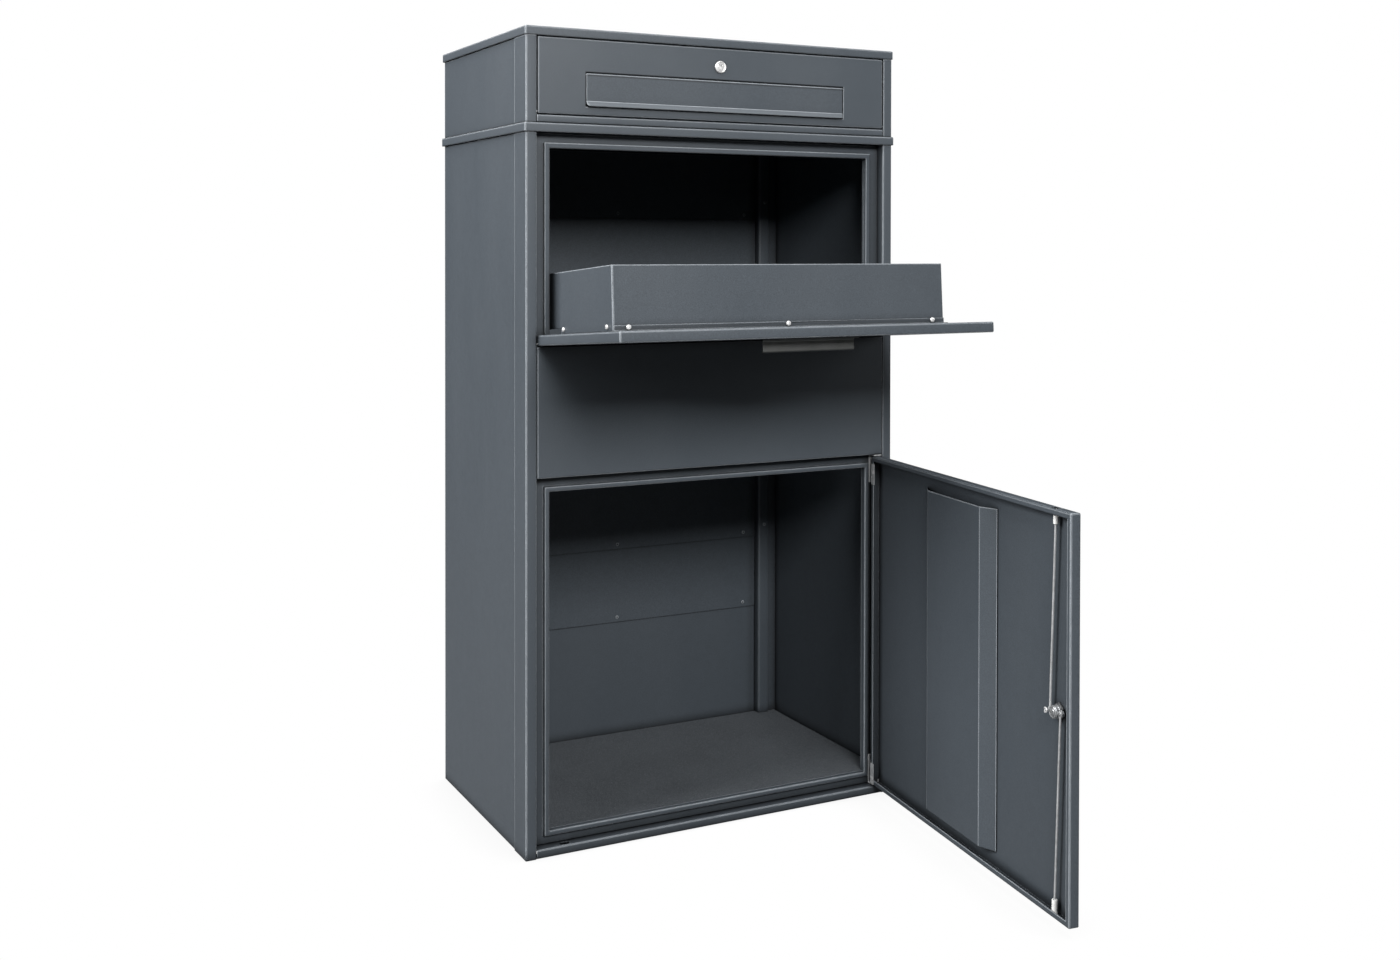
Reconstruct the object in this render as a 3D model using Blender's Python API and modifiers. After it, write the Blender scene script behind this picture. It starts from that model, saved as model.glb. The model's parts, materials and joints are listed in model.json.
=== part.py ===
"""Parcel drop box: a sheet-steel cabinet with a letter module, a pull-down hatch and a collection door.

Metres, +Z up, front towards -Y. The origin is the centre of the footprint on the ground.
Every moving piece is built in its closed place and hangs on an empty on its joint's axis;
the empties are then turned to the rest pose, with the hatch and the door open.
"""

from math import atan2, hypot, pi, radians

import bmesh
import bpy
from mathutils import Matrix, Vector

# Cabinet
WIDTH = 0.620
DEPTH = 0.400
HEIGHT = 1.200
SHEET = 0.0012
GAP = 0.0003
FOLD_RADIUS = 0.0018
FRAME_FOLD = 0.0015

FRONT = -DEPTH / 2
REAR = DEPTH / 2
SIDE = WIDTH / 2

# Front posts and the openings between them
STILE = 0.0165
POST_FLANGE = 0.049
REBATE = 0.018
OPENING = SIDE - STILE
RAIL_TOP = 0.0129
FASCIA_BOTTOM = 0.5492
FASCIA_TOP = 0.7400
BODY_TOP = 1.0483

# Raised lip round each opening
LIP_OUTER = 0.277
LIP_WIDTH = 0.0076
LIP_RISE = 0.005
LIP_INNER = LIP_OUTER - LIP_WIDTH
LIP_RETURN = 0.006
FRAME_FLANGE = 0.012
HATCH_SILL = 0.7500
HATCH_LINTEL = 1.0264
LIP_CUTBACK = 0.005
DOOR_LIP_BOTTOM = 0.0255
DOOR_LIP_TOP = 0.5350
FLOOR_LEVEL = 0.0310
BOARD_THICKNESS = 0.0020
BASE_RIM = 0.025
BASE_SETBACK = 0.015

# Rear wall: seams between four lapped sheets, from the top down
REAR_SEAMS = (0.933, 0.354, 0.226)
REAR_LAP = 0.018
REAR_FLANGE = 0.025
REAR_POST_WIDTH = 0.037
REAR_POST_DEPTH = 0.014
REAR_POST_STEP = 0.0056

# Collar, letter module and cap
COLLAR_BOTTOM = 1.0486
COLLAR_TOP = 1.0618
COLLAR_PROUD = 0.0025
MODULE_RAIL_TOP = 1.0735
CAP_BOTTOM = 1.1870
CAP_PROUD = 0.0015
STRIKE_DROP = 0.0090
STRIKE_SHELF = 0.030

# Leaves: folded pans with a returned rim
LEAF_DEPTH = 0.0153
LEAF_RIM = 0.008
LEAF_SIDE_GAP = 0.0012
PIN_RADIUS = 0.0013
PIN_HOLE_RADIUS = 0.00155
PIN_GRIP = 0.006

# Letter door and its flap
MAIL_DOOR_BOTTOM = 1.0747
MAIL_DOOR_TOP = 1.1858
MAIL_PIVOT = 0.0035
SLOT_HALF_WIDTH = 0.2186
SLOT_BOTTOM = 1.0872
SLOT_TOP = 1.1378
FLAP_GAP = 0.0010
FLAP_AXIS_DEPTH = 0.0031
FLAP_AXIS_DROP = 0.0033
FLAP_KNUCKLE_RADIUS = 0.0024
FLAP_PIN_RADIUS = 0.0012
FLAP_PIN_HOLE = 0.0015
FLAP_LIP_HEIGHT = 0.006
FLAP_LIP_OUT = 0.0055
FLAP_EAR_GAP = 0.0004
FLAP_EAR_THICKNESS = 0.0016
FLAP_EAR_REACH = 0.004
MAIL_LOCK_HEIGHT = 1.157
MAIL_LOCK_LENGTH = 0.0200
MAIL_NUT_THICKNESS = 0.0030
CAM_HALF_WIDTH = 0.0065
CAM_REACH = 0.0285
CAM_THICKNESS = 0.0020
CAM_BOLT_RADIUS = 0.0050
CAM_BOLT_LENGTH = 0.0060

# Hatch and its tray
HATCH_BOTTOM = 0.7407
HATCH_TOP = 1.0480
HATCH_PIVOT = 0.0028
HATCH_OPEN = radians(86.1)
INNER_PAN_GAP = 0.0020
TRAY_HALF_WIDTH = 0.2648
TRAY_REACH = 0.2200
TRAY_HEIGHT = 0.0893
TRAY_BEHIND = 0.020
TRAY_NOTCH_UP = 0.030
TRAY_NOTCH_DEEP = 0.0080
TRAY_SCREW_HEIGHT = 0.0057
TRAY_SCREW_INSET = 0.0215
SIDE_SCREWS_AT = (0.0400, 0.2005)
SCREW_HOLE_RADIUS = 0.0020
SCREW_HEAD_RADIUS = 0.0034
SCREW_HEAD_HEIGHT = 0.0020
SCREW_SHANK_RADIUS = 0.0016
SCREW_SHANK_LENGTH = 0.0072
SCREW_SHANK_CENTRE = 0.0028
STRIP_HEIGHT = 0.0085
STRIP_FOOT = 0.012
STRIP_SIDE_GAP = 0.0005
HANDLE_UP = 0.2785
HANDLE_WIDTH = 0.144
HANDLE_REACH = 0.019
HANDLE_FOOT = 0.014
HANDLE_THICKNESS = 0.0018
HANDLE_TURN_DOWN = 0.004

# Collection door, stiffener, hinges
DOOR_BOTTOM = 0.0156
DOOR_TOP = 0.5464
DOOR_PIVOT_DEPTH = 0.0028
DOOR_PIVOT_SIDE = 0.0040
DOOR_OPEN = radians(83.4)
STIFFENER_FACE = (0.198, 0.3535)
STIFFENER_BASE = (0.171, 0.3805)
STIFFENER_BOTTOM = 0.0390
STIFFENER_TOP = 0.5195
STIFFENER_SEAT = 0.0005
BRACKET_WIDTH = 0.0142
BRACKET_HEIGHT = 0.046
BRACKET_SHEET = 0.0014
BRACKET_ARM_GAP = 0.0007
BRACKET_NOSE_SETBACK = 0.0008

# Three-point lock
LOCK_FROM_HINGE_SIDE = 0.541
LOCK_HEIGHT = 0.2810
LOCK_BODY_RADIUS = 0.0080
LOCK_BEZEL_RADIUS = 0.0094
LOCK_BEZEL = 0.0020
LOCK_HOLE_RADIUS = 0.0083
LOCK_NUT_RADIUS = 0.0120
LOCK_NUT_SIDES = 6
DOOR_LOCK_LENGTH = 0.0049
DOOR_NUT_THICKNESS = 0.0028
KEYWAY = (0.0012, 0.0062)
KEYWAY_DEPTH = 0.0016
CRANK_RADIUS = 0.0125
CRANK_HALF_WIDTH = 0.0040
CRANK_END = 0.0030
CRANK_SHEET = 0.0014
CRANK_DISC_RADIUS = 0.0086
CRANK_DISC_THICKNESS = 0.0016
CRANK_BOLT_RADIUS = 0.0048
CRANK_BOLT_LENGTH = 0.0080
CRANK_PIN_RADIUS = 0.0014
CRANK_PIN_LENGTH = 0.0060
CRANK_PIN_CENTRE = 0.0032
ROD_RADIUS = 0.0016
ROD_DEPTH = 0.0086
ROD_EYE_RADIUS = 0.0040
ROD_EYE_THICKNESS = 0.0022
ROD_TIP_RADIUS = 0.0032
ROD_TIP_LENGTH = 0.019
ROD_TIP_FOOT_RADIUS = 0.0039
ROD_TIP_FOOT = 0.003
ROD_TIP_CAP = 0.002
ROD_EYE_OVERLAP = 0.0012
ROD_SLOT_HALF = 0.0070
ROD_SLOT_DEPTH_HALF = 0.0044

ROUND_SEGMENTS = 24

PAINT = ("anthracite_paint", (0.085, 0.103, 0.121), 0.42, 0.0)
PAINT_INSIDE = ("anthracite_inside", (0.070, 0.084, 0.098), 0.50, 0.0)
FLOOR_RUBBER = ("floor_rubber", (0.045, 0.052, 0.060), 0.90, 0.0)
STEEL = ("zinc_plated_steel", (0.62, 0.63, 0.64), 0.32, 1.0)
CHROME = ("lock_chrome", (0.78, 0.78, 0.80), 0.15, 1.0)
ALUMINIUM = ("handle_aluminium", (0.50, 0.50, 0.49), 0.40, 1.0)
WHITE_PLASTIC = ("white_plastic", (0.85, 0.85, 0.84), 0.40, 0.0)


def clear_scene():
    for old in list(bpy.data.objects):
        bpy.data.objects.remove(old)


def make_collection(name):
    made = bpy.data.collections.new(name)
    bpy.context.scene.collection.children.link(made)
    return made


def make_material(name, colour, roughness, metallic):
    made = bpy.data.materials.get(name)
    if made is None:
        made = bpy.data.materials.new(name)
        made.use_nodes = True
        shader = made.node_tree.nodes["Principled BSDF"]
        shader.inputs["Base Color"].default_value = (*colour, 1.0)
        shader.inputs["Roughness"].default_value = roughness
        shader.inputs["Metallic"].default_value = metallic
        made.diffuse_color = (*colour, 1.0)
    return made


def make_empty(name, place, parent=None):
    """An empty on a joint's axis. The place is in world coordinates of the closed box."""
    axis = bpy.data.objects.new(name, None)
    axis.empty_display_size = 0.03
    axis["closed_place"] = list(place)
    hang(axis, place, parent)
    PARTS.objects.link(axis)
    return axis


def hang(item, place, parent):
    """Puts the item at a closed place, relative to its parent's closed place."""
    item.parent = parent
    item.location = Vector(place) - (Vector(parent["closed_place"]) if parent else Vector())


def finish_piece(name, mesh_data, material, place, parent=None):
    """Makes the named object from a bmesh in closed world coordinates, with its origin at place."""
    bmesh.ops.translate(mesh_data, verts=mesh_data.verts, vec=-Vector(place))
    mesh = bpy.data.meshes.new(name)
    mesh_data.to_mesh(mesh)
    mesh_data.free()
    piece = bpy.data.objects.new(name, mesh)
    PARTS.objects.link(piece)
    piece.data.materials.append(make_material(*material))
    hang(piece, place, parent)
    return piece


def box_mesh(low, high):
    low, high = Vector(low), Vector(high)
    shape = bmesh.new()
    bmesh.ops.create_cube(shape, size=1.0)
    bmesh.ops.scale(shape, vec=high - low, verts=shape.verts)
    bmesh.ops.translate(shape, vec=(low + high) / 2, verts=shape.verts)
    return shape


def round_mesh(centre, axis, radius, length, segments=ROUND_SEGMENTS):
    """A cylinder whose middle is at centre, along the named world axis."""
    turn = {"X": Matrix.Rotation(pi / 2, 3, "Y"), "Y": Matrix.Rotation(pi / 2, 3, "X")}
    shape = bmesh.new()
    bmesh.ops.create_cone(
        shape, cap_ends=True, segments=segments, radius1=radius, radius2=radius, depth=length
    )
    if axis in turn:
        bmesh.ops.rotate(shape, verts=shape.verts, matrix=turn[axis])
    bmesh.ops.translate(shape, vec=centre, verts=shape.verts)
    return shape


def centre_of(low, high):
    return (Vector(low) + Vector(high)) / 2


def box(name, low, high, material, parent=None):
    return finish_piece(name, box_mesh(low, high), material, centre_of(low, high), parent)


def rod(name, centre, axis, radius, length, material, parent=None, segments=ROUND_SEGMENTS):
    piece = finish_piece(
        name, round_mesh(centre, axis, radius, length, segments), material, centre, parent
    )
    smooth(piece)
    return piece


def smooth(piece):
    piece.data.shade_smooth()
    piece.data.set_sharp_from_angle(angle=radians(35))


def add_fold_bevel(piece, width=FOLD_RADIUS):
    bevel = piece.modifiers.new("fold_radius", "BEVEL")
    bevel.width = width
    bevel.segments = 2
    bevel.limit_method = "ANGLE"
    bevel.angle_limit = radians(40)


def add_thickness(piece, thickness=SHEET, offset=-1.0):
    solidify = piece.modifiers.new("sheet", "SOLIDIFY")
    solidify.thickness = thickness
    solidify.offset = offset
    solidify.use_even_offset = True


def boolean_with(piece, shape, operation, label):
    """Cuts or joins with a helper built in closed world coordinates, riding on the piece's parent."""
    helper = finish_piece(f"{piece.name}_{label}", shape, PAINT, closed_place_of(piece), piece.parent)
    PARTS.objects.unlink(helper)
    CUTTERS.objects.link(helper)
    helper.hide_render = True
    helper.display_type = "WIRE"
    modifier = piece.modifiers.new(label, "BOOLEAN")
    modifier.operation = operation
    modifier.object = helper
    modifier.solver = "EXACT"


def closed_place_of(piece):
    start = Vector(piece.parent["closed_place"]) if piece.parent else Vector()
    return start + piece.location


def cut(piece, shape, label):
    boolean_with(piece, shape, "DIFFERENCE", label)


def join(piece, shape, label):
    boolean_with(piece, shape, "UNION", label)


def pan(name, low, high, open_side, material, rim=0.0, parent=None):
    """A folded pan: a box open on one side, its edges rolled, with an optional returned rim."""
    shape = box_mesh(low, high)
    side = Vector(open_side)
    opening = max(shape.faces, key=lambda face: face.normal.dot(side))
    if rim:
        bmesh.ops.inset_region(shape, faces=[opening], thickness=rim, use_even_offset=True)
    bmesh.ops.delete(shape, geom=[opening], context="FACES_ONLY")
    piece = finish_piece(name, shape, material, centre_of(low, high), parent)
    add_fold_bevel(piece)
    add_thickness(piece)
    return piece


def folded_sheet(name, path, start, run, material, parent=None, thickness=SHEET, offset=-1.0):
    """A sheet folded along a path of points, drawn out by the run vector from start.

    The sheet's thickness goes to the side that offset names.
    """
    shape = bmesh.new()
    line = [shape.verts.new(Vector(start) + Vector(point)) for point in path]
    edges = [shape.edges.new(pair) for pair in zip(line, line[1:])]
    drawn = bmesh.ops.extrude_edge_only(shape, edges=edges)["geom"]
    moved = [item for item in drawn if isinstance(item, bmesh.types.BMVert)]
    bmesh.ops.translate(shape, verts=moved, vec=run)
    piece = finish_piece(name, shape, material, start, parent)
    add_fold_bevel(piece, max(FOLD_RADIUS, 1.4 * thickness))
    add_thickness(piece, thickness, offset)
    return piece


def frame_ring(name, loops, material, parent=None):
    """A mitred frame folded from sheet: a loft through rectangles (half width, low, high, y)."""
    shape = bmesh.new()
    rings = []
    for half, low, high, y in loops:
        corners = ((-half, y, low), (half, y, low), (half, y, high), (-half, y, high))
        rings.append([shape.verts.new(corner) for corner in corners])
    for outer, inner in zip(rings, rings[1:]):
        for i in range(4):
            j = (i + 1) % 4
            shape.faces.new((outer[i], outer[j], inner[j], inner[i]))
    place = (0, loops[0][3], (loops[0][1] + loops[0][2]) / 2)
    piece = finish_piece(name, shape, material, place, parent)
    add_fold_bevel(piece, FRAME_FOLD)
    add_thickness(piece)
    return piece


# ---------------------------------------------------------------- cabinet body


def front_posts(prefix, bottom, top, pin_height):
    """Two folded corner posts; each return takes a hinge pin at pin_height and FRONT + pivot."""
    for side, sign in (("left", -1), ("right", 1)):
        path = (
            (sign * SIDE, FRONT + POST_FLANGE, 0),
            (sign * SIDE, FRONT, 0),
            (sign * OPENING, FRONT, 0),
            (sign * OPENING, FRONT + REBATE - GAP, 0),
        )
        post = folded_sheet(
            f"{prefix}_{side}_post", path, (0, 0, bottom), (0, 0, top - bottom), PAINT, offset=-sign
        )
        centre = (sign * OPENING, FRONT + pin_height[1], pin_height[0])
        cut(post, round_mesh(centre, "X", PIN_HOLE_RADIUS, 8 * SHEET, 16), "pin_hole")


def side_panels(prefix, bottom, top):
    """Side sheets set inside the posts' flanges, folded round the rear corners."""
    plane = SIDE - SHEET - GAP
    for side, sign in (("left", -1), ("right", 1)):
        path = (
            (sign * plane, FRONT + 3 * SHEET, 0),
            (sign * plane, REAR, 0),
            (sign * (plane - REAR_FLANGE), REAR, 0),
        )
        folded_sheet(
            f"{prefix}{side}_panel", path, (0, 0, bottom), (0, 0, top - bottom), PAINT, offset=sign
        )


def inner_half():
    """Half the width inside the side sheets."""
    return SIDE - 2 * SHEET - 2 * GAP


def rear_panels():
    """Four sheets lapped like shingles, each upper one in front of the next one down."""
    names = ("top", "middle", "low", "bottom")
    tops = (BODY_TOP, *(seam + REAR_LAP for seam in REAR_SEAMS))
    bottoms = (*REAR_SEAMS, 0.0)
    half = inner_half()
    for layer, (name, top, bottom) in enumerate(zip(names, tops, bottoms)):
        back = REAR - (len(names) - layer) * (SHEET + GAP)
        box(f"rear_panel_{name}", (-half, back - SHEET, bottom), (half, back, top), PAINT_INSIDE)


def rear_posts():
    """Folded channels that stiffen the rear corners from inside."""
    back = REAR - 5 * (SHEET + GAP) - GAP
    front = back - REAR_POST_DEPTH
    outer = inner_half()
    inner = outer - REAR_POST_WIDTH
    groove = outer - REAR_POST_WIDTH / 2
    for side, sign in (("left", -1), ("right", 1)):
        path = (
            (sign * inner, back, 0),
            (sign * inner, front, 0),
            (sign * groove, front, 0),
            (sign * groove, front + REAR_POST_STEP, 0),
            (sign * outer, front + REAR_POST_STEP, 0),
        )
        bottom = FLOOR_LEVEL + BOARD_THICKNESS + GAP
        folded_sheet(
            f"rear_{side}_post",
            path,
            (0, 0, bottom),
            (0, 0, BODY_TOP - bottom),
            PAINT_INSIDE,
            offset=-sign,
        )


def base_and_floor():
    """Ground pan, whose returned rim carries the raised floor board."""
    half = inner_half()
    front = FRONT + REBATE + BASE_SETBACK
    back = REAR - 5 * (SHEET + GAP) - GAP
    pan("base_pan", (-half, front, 0), (half, back, FLOOR_LEVEL), (0, 0, 1), PAINT, BASE_RIM)
    board_half = half - SHEET - 2 * GAP
    low = (-board_half, FRONT + REBATE + LIP_RETURN + 2 * GAP, FLOOR_LEVEL + GAP)
    high = (board_half, back, FLOOR_LEVEL + BOARD_THICKNESS)
    box("floor_board", low, high, FLOOR_RUBBER)


def channel_rail(name, bottom, top):
    """A C channel between the posts: front face with a shelf and a foot turned back."""
    back = FRONT + REBATE - GAP
    path = ((0, back, bottom), (0, FRONT, bottom), (0, FRONT, top), (0, back, top))
    half = OPENING - GAP
    return folded_sheet(name, path, (-half, 0, 0), (2 * half, 0, 0), PAINT)


def rod_slot(z):
    """A slot for a locking rod's tip at a height, in the plane of the closed door's rods."""
    x = OPENING - LOCK_FROM_HINGE_SIDE
    y = FRONT + ROD_DEPTH
    half_depth = ROD_SLOT_DEPTH_HALF
    low = (x - ROD_SLOT_HALF, y - half_depth, z - 3 * SHEET)
    high = (x + ROD_SLOT_HALF, y + half_depth, z + 3 * SHEET)
    return box_mesh(low, high)


def bottom_rail():
    rail = channel_rail("bottom_rail", 0.0, RAIL_TOP)
    cut(rail, rod_slot(RAIL_TOP), "rod_slot")


def fascia_panel():
    half = OPENING - GAP
    low = (-half, FRONT, FASCIA_BOTTOM)
    high = (half, FRONT + REBATE - GAP, FASCIA_TOP)
    fascia = pan("fascia_panel", low, high, (0, 1, 0), PAINT)
    cut(fascia, rod_slot(FASCIA_BOTTOM), "rod_slot")


def opening_frames():
    """The rebate frames behind the hatch and the door, each with its raised inner lip."""
    back = FRONT + REBATE
    half = inner_half()
    raised = back - LIP_RISE
    inner_back = back + LIP_RETURN
    frame_ring(
        "door_frame",
        (
            (half, RAIL_TOP + GAP, FASCIA_BOTTOM - GAP, back + FRAME_FLANGE),
            (half, RAIL_TOP + GAP, FASCIA_BOTTOM - GAP, back),
            (LIP_OUTER, DOOR_LIP_BOTTOM, DOOR_LIP_TOP, back),
            (LIP_OUTER, DOOR_LIP_BOTTOM, DOOR_LIP_TOP, raised),
            (LIP_INNER, DOOR_LIP_BOTTOM + LIP_WIDTH, DOOR_LIP_TOP - LIP_WIDTH, raised),
            (LIP_INNER, DOOR_LIP_BOTTOM + LIP_WIDTH, DOOR_LIP_TOP - LIP_WIDTH, inner_back),
        ),
        PAINT,
    )
    hatch_frame = frame_ring(
        "hatch_frame",
        (
            (half, FASCIA_TOP + GAP, BODY_TOP, back + FRAME_FLANGE),
            (half, FASCIA_TOP + GAP, BODY_TOP, back),
            (LIP_INNER, HATCH_SILL, HATCH_LINTEL, back),
            (LIP_INNER, HATCH_SILL, HATCH_LINTEL, inner_back),
        ),
        PAINT,
    )
    lip_back = back + SHEET / 2
    lip_foot = HATCH_SILL + LIP_CUTBACK
    for side, sign in (("left", -1), ("right", 1)):
        near, far = sorted((sign * LIP_INNER, sign * LIP_OUTER))
        low = (near, raised, lip_foot)
        high = (far, lip_back, HATCH_LINTEL + LIP_WIDTH)
        join(hatch_frame, box_mesh(low, high), f"{side}_lip")
    low = (-LIP_OUTER, raised, HATCH_LINTEL)
    high = (LIP_OUTER, lip_back, HATCH_LINTEL + LIP_WIDTH)
    join(hatch_frame, box_mesh(low, high), "top_lip")
    low = (-LIP_INNER, back + 2.5 * SHEET, FASCIA_TOP - 4 * SHEET)
    high = (LIP_INNER, back + 2 * FRAME_FLANGE, HATCH_SILL + 4 * SHEET)
    cut(hatch_frame, box_mesh(low, high), "tray_clearance")


def cabinet_body():
    front_posts("front", 0.0, BODY_TOP, (HATCH_BOTTOM + HATCH_PIVOT, HATCH_PIVOT))
    side_panels("", 0.0, BODY_TOP)
    rear_panels()
    rear_posts()
    base_and_floor()
    bottom_rail()
    fascia_panel()
    opening_frames()
    pan(
        "collar_deck",
        (-SIDE - COLLAR_PROUD, FRONT - COLLAR_PROUD, COLLAR_BOTTOM),
        (SIDE + COLLAR_PROUD, REAR + COLLAR_PROUD, COLLAR_TOP),
        (0, 0, -1),
        PAINT,
    )


# ---------------------------------------------------------------- letter module


def letter_module():
    bottom = COLLAR_TOP + GAP
    top = CAP_BOTTOM - GAP
    front_posts("mail", bottom, top, (MAIL_DOOR_BOTTOM + MAIL_PIVOT, MAIL_PIVOT))
    side_panels("mail_", bottom, top)
    half = inner_half()
    back = REAR - SHEET - GAP
    box("mail_rear_panel", (-half, back - SHEET, bottom), (half, back, top), PAINT_INSIDE)
    channel_rail("mail_bottom_rail", bottom, MODULE_RAIL_TOP)
    strike = FRONT + REBATE + GAP
    path = (
        (0, strike, CAP_BOTTOM - STRIKE_DROP),
        (0, strike, HEIGHT - SHEET - GAP),
        (0, strike + STRIKE_SHELF, HEIGHT - SHEET - GAP),
    )
    folded_sheet("mail_top_rail", path, (-OPENING, 0, 0), (2 * OPENING, 0, 0), PAINT_INSIDE)
    pan(
        "cap_lid",
        (-SIDE - CAP_PROUD, FRONT - CAP_PROUD, CAP_BOTTOM),
        (SIDE + CAP_PROUD, REAR + CAP_PROUD, HEIGHT),
        (0, 0, -1),
        PAINT,
    )


def hinge_pins(prefix, height, depth, leaf_half):
    """A short pin through each post's return into the leaf's side flange."""
    for side, sign in (("left", -1), ("right", 1)):
        inner = leaf_half - PIN_GRIP
        outer = OPENING + PIN_GRIP
        centre = (sign * (inner + outer) / 2, FRONT + depth, height)
        rod(f"{prefix}_hinge_pin_{side}", centre, "X", PIN_RADIUS, outer - inner, STEEL)


def leaf_pin_holes(leaf, height, depth, leaf_half):
    for side, sign in (("left", -1), ("right", 1)):
        centre = (sign * leaf_half, FRONT + depth, height)
        cut(leaf, round_mesh(centre, "X", PIN_HOLE_RADIUS, 8 * SHEET, 16), f"pin_hole_{side}")


def lock_barrel(name, x, z, length, parent):
    """A cam lock's body: bezel, threaded body and a keyway in the face."""
    bezel_y = FRONT - LOCK_BEZEL / 2 - GAP
    start = FRONT - GAP - SHEET / 6
    barrel = finish_piece(
        name,
        round_mesh((x, bezel_y, z), "Y", LOCK_BEZEL_RADIUS, LOCK_BEZEL),
        CHROME,
        (x, bezel_y, z),
        parent,
    )
    smooth(barrel)
    body = round_mesh((x, start + length / 2, z), "Y", LOCK_BODY_RADIUS, length)
    join(barrel, body, "body")
    wide, tall = KEYWAY
    face = bezel_y - LOCK_BEZEL / 2
    low = (x - wide / 2, face - SHEET, z - tall / 2)
    high = (x + wide / 2, face + KEYWAY_DEPTH, z + tall / 2)
    cut(barrel, box_mesh(low, high), "keyway")


def lock_nut(name, x, z, low, thickness, parent):
    """A thin hexagon nut round the lock body, behind the door's skin."""
    centre = (x, FRONT + low + thickness / 2, z)
    nut = rod(name, centre, "Y", LOCK_NUT_RADIUS, thickness, STEEL, parent, LOCK_NUT_SIDES)
    cut(nut, round_mesh(centre, "Y", LOCK_HOLE_RADIUS, 3 * thickness), "thread")


def letter_door():
    half = OPENING - LEAF_SIDE_GAP
    pivot = (0, FRONT + MAIL_PIVOT, MAIL_DOOR_BOTTOM + MAIL_PIVOT)
    axis = make_empty("mail_door_axis", pivot)
    leaf = pan(
        "mail_door",
        (-half, FRONT, MAIL_DOOR_BOTTOM),
        (half, FRONT + LEAF_DEPTH, MAIL_DOOR_TOP),
        (0, 1, 0),
        PAINT,
        LEAF_RIM,
        axis,
    )
    slot_low = (-SLOT_HALF_WIDTH, FRONT - SHEET, SLOT_BOTTOM)
    slot_high = (SLOT_HALF_WIDTH, FRONT + 4 * SHEET, SLOT_TOP)
    cut(leaf, box_mesh(slot_low, slot_high), "letter_slot")
    flap_axis_z = SLOT_TOP - FLAP_AXIS_DROP
    ear_inner = SLOT_HALF_WIDTH + FLAP_EAR_GAP
    ear_outer = ear_inner + FLAP_EAR_THICKNESS
    for side, sign in (("left", -1), ("right", 1)):
        near, far = sorted((sign * ear_inner, sign * ear_outer))
        low = (near, FRONT + SHEET / 2, flap_axis_z - FLAP_EAR_REACH)
        high = (far, FRONT + FLAP_AXIS_DEPTH + FLAP_EAR_REACH, flap_axis_z + FLAP_EAR_REACH)
        join(leaf, box_mesh(low, high), f"flap_ear_{side}")
    along = (0, FRONT + FLAP_AXIS_DEPTH, flap_axis_z)
    cut(leaf, round_mesh(along, "X", FLAP_PIN_HOLE, 2 * ear_outer + SHEET, 16), "flap_pin_hole")
    cut(leaf, round_mesh((0, FRONT, MAIL_LOCK_HEIGHT), "Y", LOCK_HOLE_RADIUS, 8 * SHEET), "lock_hole")
    leaf_pin_holes(leaf, pivot[2], MAIL_PIVOT, half)
    hinge_pins("mail", pivot[2], MAIL_PIVOT, half)
    letter_flap(axis, along)
    mail_lock(axis)
    return axis


def letter_flap(door_axis, along):
    """The flap with its rolled top edge, its outward grip lip and the pin it hangs on."""
    axis = make_empty("letter_flap_axis", along, door_axis)
    half = SLOT_HALF_WIDTH - FLAP_GAP
    low = SLOT_BOTTOM + FLAP_GAP
    plate_top = along[2] - GAP
    flap = box(
        "letter_flap",
        (-half, FRONT + GAP, low + FLAP_LIP_HEIGHT),
        (half, FRONT + GAP + SHEET, plate_top),
        PAINT,
        axis,
    )
    knuckle = round_mesh(along, "X", FLAP_KNUCKLE_RADIUS, 2 * (half - GAP))
    join(flap, knuckle, "knuckle")
    join(flap, lip_wedge(half, low), "grip_lip")
    cut(flap, round_mesh(along, "X", FLAP_PIN_HOLE, 2 * (half + SHEET), 16), "pin_bore")
    pin_length = 2 * (SLOT_HALF_WIDTH + FLAP_EAR_GAP + FLAP_EAR_THICKNESS - GAP)
    rod("letter_flap_pin", along, "X", FLAP_PIN_RADIUS, pin_length, STEEL, door_axis, 16)


def lip_wedge(half, low):
    """The flap's lower edge, bent out into a grip: a sloping band drawn along the flap."""
    inner = FRONT + GAP + SHEET
    top = low + FLAP_LIP_HEIGHT + GAP
    section = (
        (inner, top),
        (inner, top - 2 * SHEET),
        (FRONT - FLAP_LIP_OUT + SHEET / 2, low),
        (FRONT - FLAP_LIP_OUT, low + SHEET),
        (FRONT + GAP, top),
    )
    shape = bmesh.new()
    face = shape.faces.new([shape.verts.new((-half, y, z)) for y, z in section])
    drawn = bmesh.ops.extrude_face_region(shape, geom=[face])["geom"]
    moved = [item for item in drawn if isinstance(item, bmesh.types.BMVert)]
    bmesh.ops.translate(shape, verts=moved, vec=(2 * half, 0, 0))
    bmesh.ops.recalc_face_normals(shape, faces=shape.faces)
    return shape


def mail_lock(door_axis):
    """Lock at the top centre of the letter door; its cam turns up behind the top rail."""
    height = MAIL_LOCK_HEIGHT
    lock_barrel("mail_lock_barrel", 0, height, MAIL_LOCK_LENGTH, door_axis)
    lock_nut("mail_lock_nut", 0, height, SHEET + GAP, MAIL_NUT_THICKNESS, door_axis)
    back = FRONT + MAIL_LOCK_LENGTH + GAP
    place = (0, back, height)
    axis = make_empty("mail_lock_axis", place, door_axis)
    low = (-CAM_HALF_WIDTH, back, height - CAM_HALF_WIDTH)
    high = (CAM_REACH, back + CAM_THICKNESS, height + CAM_HALF_WIDTH)
    cam = finish_piece("mail_lock_cam", box_mesh(low, high), STEEL, place, axis)
    bolt_centre = (0, back + CAM_BOLT_LENGTH / 2, height)
    join(cam, round_mesh(bolt_centre, "Y", CAM_BOLT_RADIUS, CAM_BOLT_LENGTH, 6), "cam_bolt")


# ---------------------------------------------------------------- parcel hatch


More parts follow.
